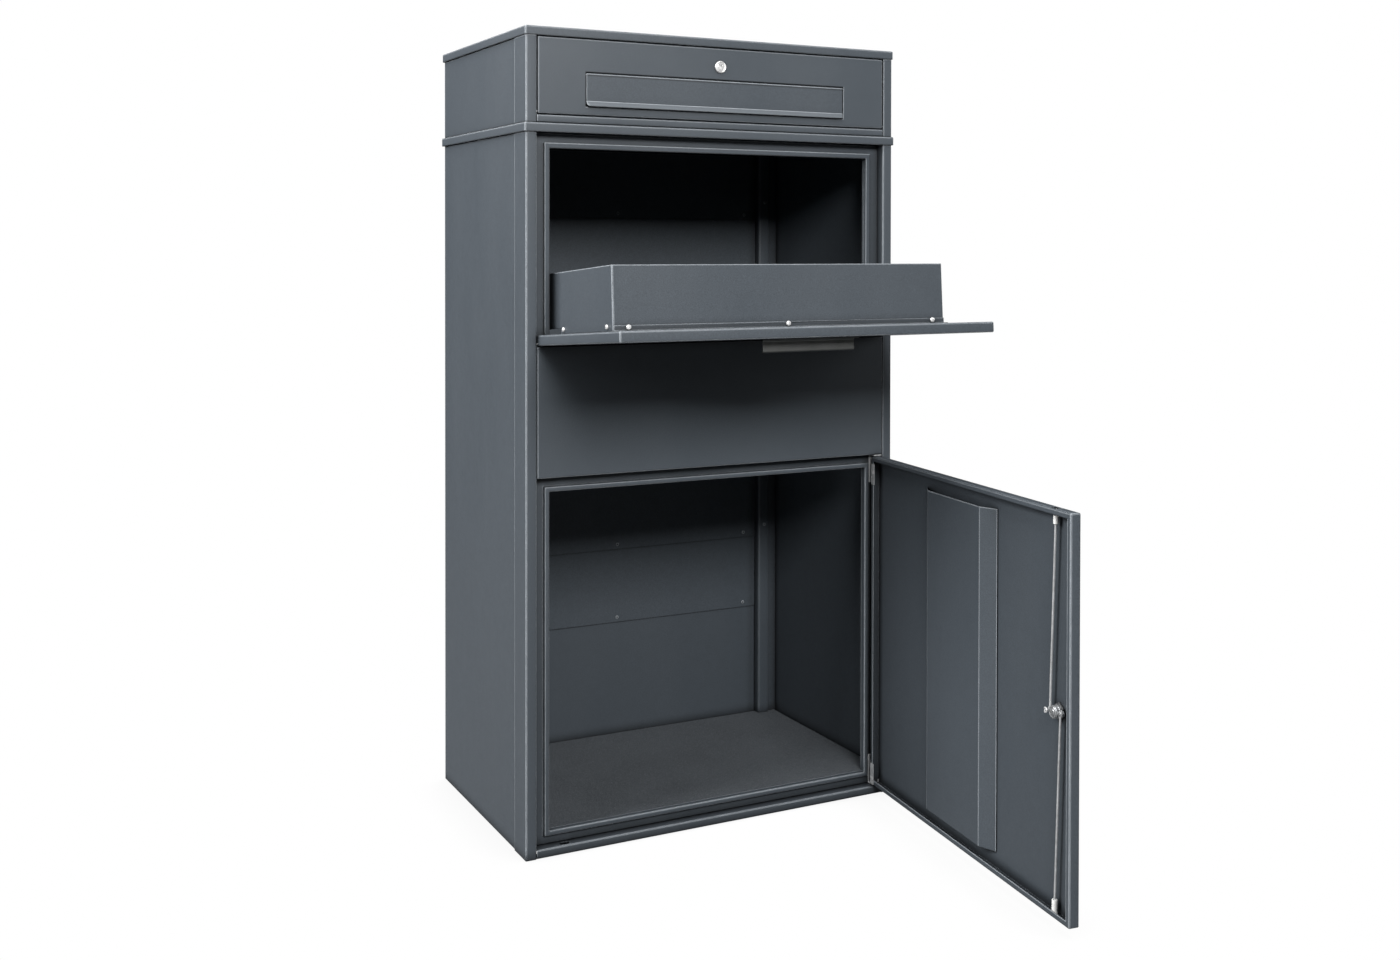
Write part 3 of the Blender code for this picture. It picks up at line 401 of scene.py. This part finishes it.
def lathe(profile, centre, direction, segments=40):
    """A turned shape: profile is (radius, height) from the first axis point to the last."""
    shape = bmesh.new()
    rings = []
    for radius, height in profile:
        if radius == 0:
            rings.append([shape.verts.new((0, 0, height))])
            continue
        angles = [2 * pi * i / segments for i in range(segments)]
        rings.append([shape.verts.new((radius * cos(a), radius * sin(a), height)) for a in angles])
    for lower, upper in zip(rings, rings[1:]):
        for i in range(segments):
            j = (i + 1) % segments
            below = [lower[i % len(lower)], lower[j % len(lower)]]
            above = [upper[j % len(upper)], upper[i % len(upper)]]
            shape.faces.new(list(dict.fromkeys(below + above)))
    shape.transform(Matrix.Translation(centre) @ facing(direction))
    return shape


def tube(points, radius, segments=14):
    """A round bar swept along points."""
    shape = bmesh.new()
    path = [Vector(point) for point in points]
    rings = []
    side = None
    for i, point in enumerate(path):
        before = path[max(i - 1, 0)]
        after = path[min(i + 1, len(path) - 1)]
        ahead = (after - before).normalized()
        if side is None:
            side = ahead.orthogonal().normalized()
        side = (side - ahead * side.dot(ahead)).normalized()
        across = ahead.cross(side)
        angles = [2 * pi * k / segments for k in range(segments)]
        rings.append([shape.verts.new(point + radius * (cos(a) * side + sin(a) * across)) for a in angles])
    for first, second in zip(rings, rings[1:]):
        for k in range(segments):
            m = (k + 1) % segments
            shape.faces.new((first[k], first[m], second[m], second[k]))
    shape.faces.new(rings[0])
    shape.faces.new(rings[-1])
    return shape


def block(low, high, edge=0.0):
    """A box with rolled edges."""
    shape = bmesh.new()
    bmesh.ops.create_cube(shape, size=1.0)
    size = Vector(high) - Vector(low)
    bmesh.ops.scale(shape, vec=size, verts=shape.verts)
    bmesh.ops.translate(shape, vec=(Vector(low) + Vector(high)) / 2, verts=shape.verts)
    if edge:
        bmesh.ops.bevel(shape, geom=shape.edges, offset=edge, segments=2, affect="EDGES", profile=0.5)
    return shape


def merged(*shapes):
    """One bmesh holding several closed shapes."""
    whole = bmesh.new()
    for shape in shapes:
        mesh = bpy.data.meshes.new("part")
        shape.to_mesh(mesh)
        shape.free()
        whole.from_mesh(mesh)
        bpy.data.meshes.remove(mesh)
    return whole


def carved(shape, *cutters):
    """The shape with the cutters taken out of it."""
    for solid in (shape, *cutters):
        bmesh.ops.recalc_face_normals(solid, faces=solid.faces)
    mesh = bpy.data.meshes.new("stock")
    shape.to_mesh(mesh)
    shape.free()
    stock = bpy.data.objects.new("stock", mesh)
    tool_mesh = bpy.data.meshes.new("tool")
    tools = merged(*cutters)
    tools.to_mesh(tool_mesh)
    tools.free()
    tool = bpy.data.objects.new("tool", tool_mesh)
    for item in (stock, tool):
        SCENE.collection.objects.link(item)
    boolean = stock.modifiers.new("cut", "BOOLEAN")
    boolean.object = tool
    boolean.operation = "DIFFERENCE"
    boolean.solver = "EXACT"
    boolean.use_self = True
    bpy.context.view_layer.update()
    made = bpy.data.meshes.new_from_object(stock.evaluated_get(bpy.context.evaluated_depsgraph_get()))
    result = bmesh.new()
    result.from_mesh(made)
    for item in (stock, tool):
        bpy.data.objects.remove(item)
    return result


def ring_points(centre, radius, start, end, count):
    """Points on an arc in the XZ plane round a centre, angles in degrees."""
    angles = [radians(start + (end - start) * i / (count - 1)) for i in range(count)]
    return [Vector(centre) + Vector((radius * cos(a), 0, radius * sin(a))) for a in angles]


RIVET = (
    (0.0012, -0.0006),
    (0.0012, 0.0010),
    (0.0019, 0.0012),
    (0.0027, 0.0008),
    (0.0032, 0.0001),
    (0.0032, -0.0002),
)
MANDREL = ((0, 0.0002), (0.0010, 0.0002), (0.0012, -0.0003))


def rivet(name, place, direction, material=RIVET_PAINT):
    """A painted blind rivet's domed head and, inside it, its broken mandrel in near black, painted shade of the
    hole.
    """
    put(name, lathe(RIVET, place, direction, 20), material, "cabinet")
    put(f"{name}_mandrel", lathe(MANDREL, place, direction, 16), HOLE_SHADE, "cabinet")


def rivets():
    """Blind rivets of the rear panels' laps, the rear posts, the side sheets and the rear flanges."""
    for row, (z, y) in enumerate(((0.942, 0.1928), (0.363, 0.1943), (0.235, 0.1958))):
        for column, x in enumerate((-0.250, -0.002, 0.246)):
            rivet(f"rear_rivet_{row}_{column}", (x, y, z), (0, -1, 0))
    for side, sign in (("left", -1), ("right", 1)):
        for row, z in enumerate((0.9645, 0.3776)):
            rivet(f"{side}_post_rivet_{row}", (sign * 0.2805, 0.1770, z), (0, -1, 0))
        for row, z in enumerate((0.965, 0.382, 0.062)):
            rivet(f"{side}_wall_rivet_{row}", (sign * 0.3073, -0.133, z), (-sign, 0, 0))
        for row, z in enumerate((0.060, 0.300, 0.540, 0.780, 1.000)):
            rivet(f"{side}_flange_rivet_{row}", (sign * 0.2945, REAR, z), (0, 1, 0), PAINT)


def cross_slotted(profile, wing, half, low, high, centre, direction):
    """A turned head with a cross recess cut between two heights, set on its place."""
    bars = (
        block((-wing, -half, low), (wing, half, high)),
        block((-half, -wing, low), (half, wing, high)),
    )
    head = carved(lathe(profile, (0, 0, 0), (0, 0, 1), 32), *bars)
    spin = Matrix.Rotation(SCREW_TURN, 4, "Z")
    head.transform(Matrix.Translation(centre) @ facing(direction) @ spin)
    return head


def pan_head(radius, height, centre, direction):
    """A pan-head screw's head with a cross recess."""
    profile = (
        (0, 0.0),
        (radius * 0.96, 0.0),
        (radius, height * 0.12),
        (radius * 0.97, height * 0.45),
        (radius * 0.80, height * 0.82),
        (radius * 0.45, height * 0.98),
        (0, height),
    )
    low, high = height * 0.35, height * 1.4
    return cross_slotted(profile, radius * 0.50, radius * 0.12, low, high, centre, direction)


def flush_head(radius, proud, centre, direction):
    """A countersunk screw's head with a cross recess, standing barely proud of its plate."""
    profile = (
        (0, -0.0009),
        (radius * 0.45, -0.0009),
        (radius, -0.0001),
        (radius, proud * 0.6),
        (radius * 0.96, proud),
        (0, proud),
    )
    low, high = -0.0005, 0.0020
    return cross_slotted(profile, radius * 0.52, radius * 0.13, low, high, centre, direction)


def tray_screws():
    """Bright pan-head screws through the tray, in place of the plain CAD ones."""
    back = HATCH.inverted()
    reach, head_height = 0.0046, 0.0022
    shank = ((0, -0.0068), (0.0014, -0.0068), (0.0016, -0.0062), (0.0016, 0.0002), (0, 0.0002))
    for name in [n for n in frame["nodes"] if n.startswith("tray_") and "_screw_" in n]:
        low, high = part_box(name)
        centre = back @ ((Vector(low) + Vector(high)) / 2)
        if "front" in name:
            out = Vector((0, 0, 1))
        else:
            out = Vector((-1 if "left" in name else 1, 0, 0))
        seat = centre + out * (reach - head_height)
        head = pan_head(0.0036, head_height, seat, out)
        screw = merged(head, lathe(shank, seat, out, 16))
        put(f"{name}_head", screw, BRIGHT, "hatch", HATCH, (name,))


def bracket_screws():
    """Two flush screws in each hinge bracket's plate, clear of the closed door's rim."""
    wall = FRONT + REBATE - CLEARANCE - BRACKET_SHEET
    for side, heights in (("upper", (0.5135, 0.5285)), ("lower", (0.0485, 0.0335))):
        for i, z in enumerate(heights):
            head = flush_head(0.0034, 0.00015, (0.2864, wall, z), (0, -1, 0))
            put(f"{side}_bracket_screw_{i}", head, BRIGHT, "cabinet")


def hinge_plates():
    """A stiffening plate on the door's lip behind each pivot, with one bright screw and a stop pin."""
    inner = FRONT + LEAF_DEPTH
    for side, low, screw, stop in (("upper", 0.5010, 0.5210, 0.5130), ("lower", 0.0168, 0.0260, 0.0262)):
        plate = block((0.2803, inner - 0.0001, low), (0.2918, inner + 0.0005, low + 0.0330), 0.0002)
        put(f"{side}_hinge_plate", plate, DULL_STEEL, "door", DOOR)
        dome = ((0, 0.0), (0.0031, 0.0), (0.0031, 0.0001), (0.0026, 0.0003), (0, 0.0003))
        head = lathe(dome, (0.2846, inner + 0.0004, screw), (0, 1, 0), 24)
        put(f"{side}_hinge_plate_screw", head, BRIGHT, "door", DOOR)
        stub = ((0, 0.0), (0.0014, 0.0), (0.0014, 0.0002), (0, 0.0004))
        pin = lathe(stub, (0.2892, inner + 0.0004, stop), (0, 1, 0), 18)
        put(f"{side}_hinge_plate_pin", pin, BRIGHT, "door", DOOR)


def lock_face(name, stands_for, x, z, length, body, place):
    """A cam lock: rolled bezel, sunk plug with its keyway and pin marks, and the threaded body."""
    profile = (
        (0, length),
        (0.0076, length),
        (0.0080, length - 0.0004),
        (0.0080, 0.0),
        (0.0090, 0.0),
        (0.0094, -0.0004),
        (0.0094, -0.0012),
        (0.0089, -0.0019),
        (0.0081, -0.0022),
        (0.0072, -0.0021),
        (0.0067, -0.0017),
        (0.0065, -0.0017),
        (0.0064, -0.0014),
        (0.0061, -0.0014),
        (0.0060, -0.0019),
        (0.0057, -0.0021),
        (0, -0.0021),
    )
    marks = [block((-0.0008, -0.0012, -0.003), (0.0008, 0.0012, 0.0004)) for _ in range(5)]
    for i, mark in enumerate(marks):
        mark.transform(Matrix.Rotation(radians(36 + 72 * i), 4, "Z") @ Matrix.Translation((0, 0.0041, 0)))
    keyway = block((-0.0008, -0.0027, -0.004), (0.0008, 0.0027, 0.0010))
    barrel = carved(lathe(profile, (0, 0, 0), (0, 0, 1), 48), keyway, *marks)
    barrel.transform(Matrix.Translation((x, FRONT - CLEARANCE, z)) @ facing((0, 1, 0)))
    put(f"{name}_face", barrel, CHROME, body, place, (stands_for,))


def hexagon_nut(name, stands_for, x, z, thickness, body, place):
    """A chamfered hexagon nut, as wide across its corners as the CAD one."""
    corner = (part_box(stands_for)[1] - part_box(stands_for)[0]).z / 2
    shape = bmesh.new()
    bmesh.ops.create_cone(shape, cap_ends=True, segments=6, radius1=corner, radius2=corner, depth=thickness)
    bmesh.ops.bevel(shape, geom=shape.edges, offset=0.0005, segments=2, affect="EDGES", profile=0.5)
    bore = ((0, -0.01), (THREAD_RADIUS, -0.01), (THREAD_RADIUS, 0.01), (0, 0.01))
    hole = lathe(bore, (0, 0, 0), (0, 0, 1), 36)
    nut = carved(shape, hole)
    nut.transform(Matrix.Translation((x, FRONT + NUT_SEAT + thickness / 2, z)) @ facing((0, 1, 0)))
    put(name, nut, NUT_STEEL, body, place, (stands_for,))


def crank(lock_x, height):
    """The door lock's crank: ears with rivet pins, a grooved hub with a slotted screw, a spring ring."""
    y = FRONT + DOOR_LOCK_LENGTH
    plate = bmesh.new()
    outline = []
    for centre, start in ((CRANK_ARM, -90), (-CRANK_ARM, 90)):
        outline += ring_points((lock_x + centre, y, height), CRANK_EAR, start, start + 180, 12)
    face = plate.faces.new([plate.verts.new(p) for p in outline])
    drawn = bmesh.ops.extrude_face_region(plate, geom=[face])["geom"]
    lifted = [v for v in drawn if isinstance(v, bmesh.types.BMVert)]
    bmesh.ops.translate(plate, verts=lifted, vec=(0, CRANK_SHEET, 0))
    hub_profile = (
        (0, 0.0),
        (0.0088, 0.0),
        (0.0090, 0.0004),
        (0.0090, 0.0015),
        (0.0076, 0.0018),
        (0.0076, 0.0052),
        (0.0084, 0.0054),
        (0.0087, 0.0058),
        (0.0087, 0.0064),
        (0.0084, 0.0067),
        (0.0073, 0.0069),
        (0.0073, 0.0074),
        (0.0080, 0.0076),
        (0.0081, 0.0082),
        (0.0076, 0.0086),
        (0.0066, 0.0086),
        (0.0063, 0.0078),
        (0.0054, 0.0078),
        (0.0051, 0.0087),
        (0.0044, 0.0091),
        (0, 0.0092),
    )
    slots = (
        block((-0.0040, -0.0008, 0.0074), (0.0040, 0.0008, 0.0110)),
        block((-0.0008, -0.0040, 0.0074), (0.0008, 0.0040, 0.0110)),
    )
    hub = carved(lathe(hub_profile, (0, 0, 0), (0, 0, 1), 44), *slots)
    slot_turn = Matrix.Rotation(0.5, 4, "Z")
    hub.transform(Matrix.Translation((lock_x, y + 0.0001, height)) @ facing((0, 1, 0)) @ slot_turn)
    long_pin = ((0, 0.0), (0.0014, 0.0), (0.0014, 0.0118), (0.0010, 0.0121), (0, 0.0122))
    short_pin = ((0, 0.0), (0.0014, 0.0), (0.0014, 0.0057), (0.0023, 0.0058), (0.0021, 0.0066), (0, 0.0069))
    pins = (
        lathe(long_pin, (lock_x + CRANK_ARM, y, height), (0, 1, 0), 20),
        lathe(short_pin, (lock_x - CRANK_ARM, y, height), (0, 1, 0), 20),
    )
    whole = merged(plate, hub, *pins)
    clip = tube(ring_points((lock_x + CRANK_ARM, y + 0.0108, height), 0.0030, 30, 325, 26), 0.0010)
    put("lock_crank_clip", clip, BRIGHT, "door_lock", DOOR)
    put("lock_crank_hub", whole, STEEL, "door_lock", DOOR, ("lock_crank",))


def rod_sleeves():
    """Moulded sleeves on the locking rods' ends, flared at the foot."""
    profile = (
        (0.0024, 0.0),
        (0.0033, 0.0),
        (0.0037, 0.0005),
        (0.0037, 0.0060),
        (0.0035, 0.0064),
        (0.0035, 0.0074),
        (0.0037, 0.0078),
        (0.0037, 0.0150),
        (0.0040, 0.0162),
        (0.0041, 0.0172),
        (0.0041, 0.0184),
        (0.0036, SLEEVE_LENGTH),
        (0, SLEEVE_LENGTH),
    )
    for name, body in (("upper_rod_tip", "upper_rod"), ("lower_rod_tip", "lower_rod")):
        low, high = (Vector(corner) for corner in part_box(name))
        middle = (low + high) / 2
        pivot = Vector(JOINTS[f"{body}_swivel"]["pos_m"])
        along = (middle - pivot).normalized()
        start = middle - along * SLEEVE_LENGTH / 2
        sleeve = lathe(profile, start, along, 32)
        put(f"{name}_sleeve", sleeve, WHITE, body, STILL, (name,))


def flap():
    """The letter flap: plate, rolled top edge and an outward curled grip lip with rounded ends."""
    gap = 0.0010
    half = 0.2186 - gap
    pin_y, pin_z = FRONT + 0.0031, 1.1345
    bottom = 1.0872 + gap
    inner, outer = FRONT + 0.0015, FRONT + CLEARANCE
    reach, corner = 0.0062, 0.0040
    outline = [
        (outer, bottom + 0.0076, 0.0),
        (outer - 0.0004, bottom + 0.0068, 0.1),
        (outer - reach * 0.55, bottom + 0.0030, 0.6),
        (outer - reach * 0.93, bottom + 0.0006, 1.0),
        (outer - reach * 0.97, bottom + 0.0001, 1.0),
        (outer - reach * 0.90, bottom - 0.0003, 1.0),
        (outer - reach * 0.80, bottom - 0.0001, 1.0),
        (outer - reach * 0.40, bottom + 0.0026, 0.6),
        (inner - 0.0002, bottom + 0.0056, 0.1),
        (inner, bottom + 0.0066, 0.0),
        (inner, bottom + 0.0076, 0.0),
    ]
    stations = [(-half + corner * (1 - cos(radians(90 * i / 6)))) for i in range(7)]
    stations = stations + [-x for x in reversed(stations)]
    shape = bmesh.new()
    rows = []
    for x in stations:
        inset = max(0.0, corner - (half - abs(x)))
        round_off = (corner * corner - inset * inset) ** 0.5 / corner if inset < corner else 0.0
        row = []
        for y, z, weight in outline:
            pulled = y + (outer - y) * weight * (1 - round_off) * 0.9
            row.append(shape.verts.new((x, pulled, z + (1 - round_off) * weight * 0.0030)))
        rows.append(row)
    count = len(outline)
    for first, second in zip(rows, rows[1:]):
        for k in range(count):
            m = (k + 1) % count
            shape.faces.new((first[k], first[m], second[m], second[k]))
    shape.faces.new(rows[0])
    shape.faces.new(rows[-1])
    plate = block((-half, outer, bottom + 0.0060), (half, inner, pin_z + 0.0012), 0.00035)
    length = 2 * half - gap
    knuckle_profile = (
        (0.0013, 0.0),
        (0.0022, 0.0),
        (0.0024, 0.0003),
        (0.0024, length - 0.0003),
        (0.0022, length),
        (0.0013, length),
        (0.0013, 0.0),
    )
    knuckle = lathe(knuckle_profile, (-half + gap / 2, pin_y, pin_z), (1, 0, 0), 28)
    # The lip takes the lighter lip paint, a painted highlight.
    put("letter_flap_lip", shape, LIGHTER_LIP_PAINT, "letter_flap")
    formed = merged(plate, knuckle)
    put("letter_flap_formed", formed, PAINT, "letter_flap", STILL, ("letter_flap",))


MAIL_LOCK = (0.0, MAIL_LOCK_HEIGHT)
DOOR_LOCK = (LOCK_X, DOOR_LOCK_HEIGHT)
rivets()
tray_screws()
bracket_screws()
hinge_plates()
lock_face("mail_lock", "mail_lock_barrel", *MAIL_LOCK, MAIL_LOCK_LENGTH, "mail_door", STILL)
lock_face("door_lock", "door_lock_barrel", *DOOR_LOCK, DOOR_LOCK_LENGTH, "door", DOOR)
hexagon_nut("mail_lock_hexagon", "mail_lock_nut", *MAIL_LOCK, MAIL_NUT_THICKNESS, "mail_door", STILL)
hexagon_nut("door_lock_hexagon", "door_lock_nut", *DOOR_LOCK, DOOR_NUT_THICKNESS, "door", DOOR)
crank(*DOOR_LOCK)
rod_sleeves()
flap()


# ------------------------------------------------------------------ light, floor, camera


def area_light(name, place, aim, size, power):
    """A white rectangular soft box at a place, turned towards its aim."""
    lamp = bpy.data.lights.new(name, "AREA")
    lamp.shape = "RECTANGLE"
    lamp.size, lamp.size_y = size
    lamp.energy = power
    holder = bpy.data.objects.new(name, lamp)
    holder.location = place
    holder.rotation_euler = (Vector(aim) - Vector(place)).to_track_quat("-Z", "Y").to_euler()
    SCENE.collection.objects.link(holder)


def studio():
    """White surround for the camera only, a dim one for everything else, and soft boxes."""
    world = bpy.data.worlds.new("studio")
    SCENE.world = world
    world.use_nodes = True
    tree = world.node_tree
    shown = tree.nodes["Background"]
    shown.inputs["Color"].default_value = (1.0, 1.0, 1.0, 1.0)
    shown.inputs["Strength"].default_value = 1.0
    lighting = tree.nodes.new("ShaderNodeBackground")
    lighting.inputs["Color"].default_value = (0.93, 0.97, 1.0, 1.0)
    lighting.inputs["Strength"].default_value = 0.04
    path = tree.nodes.new("ShaderNodeLightPath")
    mix = tree.nodes.new("ShaderNodeMixShader")
    tree.links.new(path.outputs["Is Camera Ray"], mix.inputs[0])
    tree.links.new(lighting.outputs[0], mix.inputs[1])
    tree.links.new(shown.outputs[0], mix.inputs[2])
    tree.links.new(mix.outputs[0], tree.nodes["World Output"].inputs["Surface"])
    area_light("soft_left", (-3.1, 0.1, 2.3), (-0.3, -0.1, 0.8), (2.2, 1.9), 196.0)
    area_light("soft_front", (-0.6, -3.7, 2.45), (0.0, -0.2, 0.7), (1.7, 1.1), 182.0)
    area_light("soft_top", (-0.4, -0.6, 3.4), (0.0, -0.1, 0.6), (1.6, 1.6), 22.0)
    area_light("soft_behind", (-0.5, 2.7, 3.7), (0.0, 0.2, 0.6), (1.8, 1.6), 140.0)
    area_light("soft_right", (3.2, -0.8, 1.9), (0.3, 0.0, 0.6), (1.8, 1.8), 40.0)


def floor_sheet():
    """A wide pale studio floor. Camera rays see it glow white with a faint painted contact shade from an AO node,
    and it throws little light back.
    """
    shape = bmesh.new()
    bmesh.ops.create_circle(shape, cap_ends=True, segments=96, radius=14.0)
    mesh = bpy.data.meshes.new("studio_floor")
    shape.to_mesh(mesh)
    shape.free()
    sheet = bpy.data.objects.new("studio_floor", mesh)
    sheet.location = (0, 0, -0.0004)
    SCENE.collection.objects.link(sheet)
    g = Graph("studio_floor_pale", 0.95)
    grey = g.ramp(g.noise(1.5, 3.0), (0.07, 0.07, 0.07), (0.09, 0.09, 0.09))
    g.colour(grey)
    shade = g.add("ShaderNodeAmbientOcclusion", samples=12)
    shade.inputs["Distance"].default_value = 0.16
    glow = g.add("ShaderNodeEmission")
    g.link(g.ramp(shade.outputs["AO"], 0.90, 1.0, (0.30, 0.75)), glow.inputs["Color"])
    path = g.add("ShaderNodeLightPath")
    mix = g.add("ShaderNodeMixShader")
    g.link(path.outputs["Is Camera Ray"], mix.inputs[0])
    g.link(g.shader.outputs["BSDF"], mix.inputs[1])
    g.link(glow.outputs["Emission"], mix.inputs[2])
    g.link(mix.outputs["Shader"], g.tree.nodes["Material Output"].inputs["Surface"])
    mesh.materials.append(g.material)


def photo_camera():
    """Camera at the photograph's viewing angle. Its lens shift holds only at its own place."""
    lens = bpy.data.cameras.new("camera")
    lens.lens = 40.08
    lens.sensor_width = 36.0
    lens.clip_start = 0.05
    camera = bpy.data.objects.new("camera", lens)
    place = Vector((-1.0658, -2.3239, 0.8834))
    yaw, pitch, roll = radians(-28.58), radians(-0.786), radians(0.122)
    heading = Matrix.Rotation(yaw, 4, "Z")
    tilt = Matrix.Rotation(pi / 2 + pitch, 4, "X")
    level = Matrix.Rotation(roll, 4, "Z")
    camera.matrix_world = Matrix.Translation(place) @ (heading @ tilt @ level)
    SCENE.collection.objects.link(camera)
    SCENE.camera = camera
    for path, shift in (("shift_x", -0.0518), ("shift_y", -0.151)):
        driver = lens.driver_add(path).driver
        variable = driver.variables.new()
        variable.name = "x"
        variable.type = "TRANSFORMS"
        variable.targets[0].id = camera
        variable.targets[0].transform_type = "LOC_X"
        variable.targets[0].transform_space = "WORLD_SPACE"
        driver.expression = f"{shift} if abs(x - {place.x:.4f}) < 0.001 else 0"


studio()
floor_sheet()
photo_camera()
SCENE.view_settings.view_transform = "Standard"
bpy.context.view_layer.update()
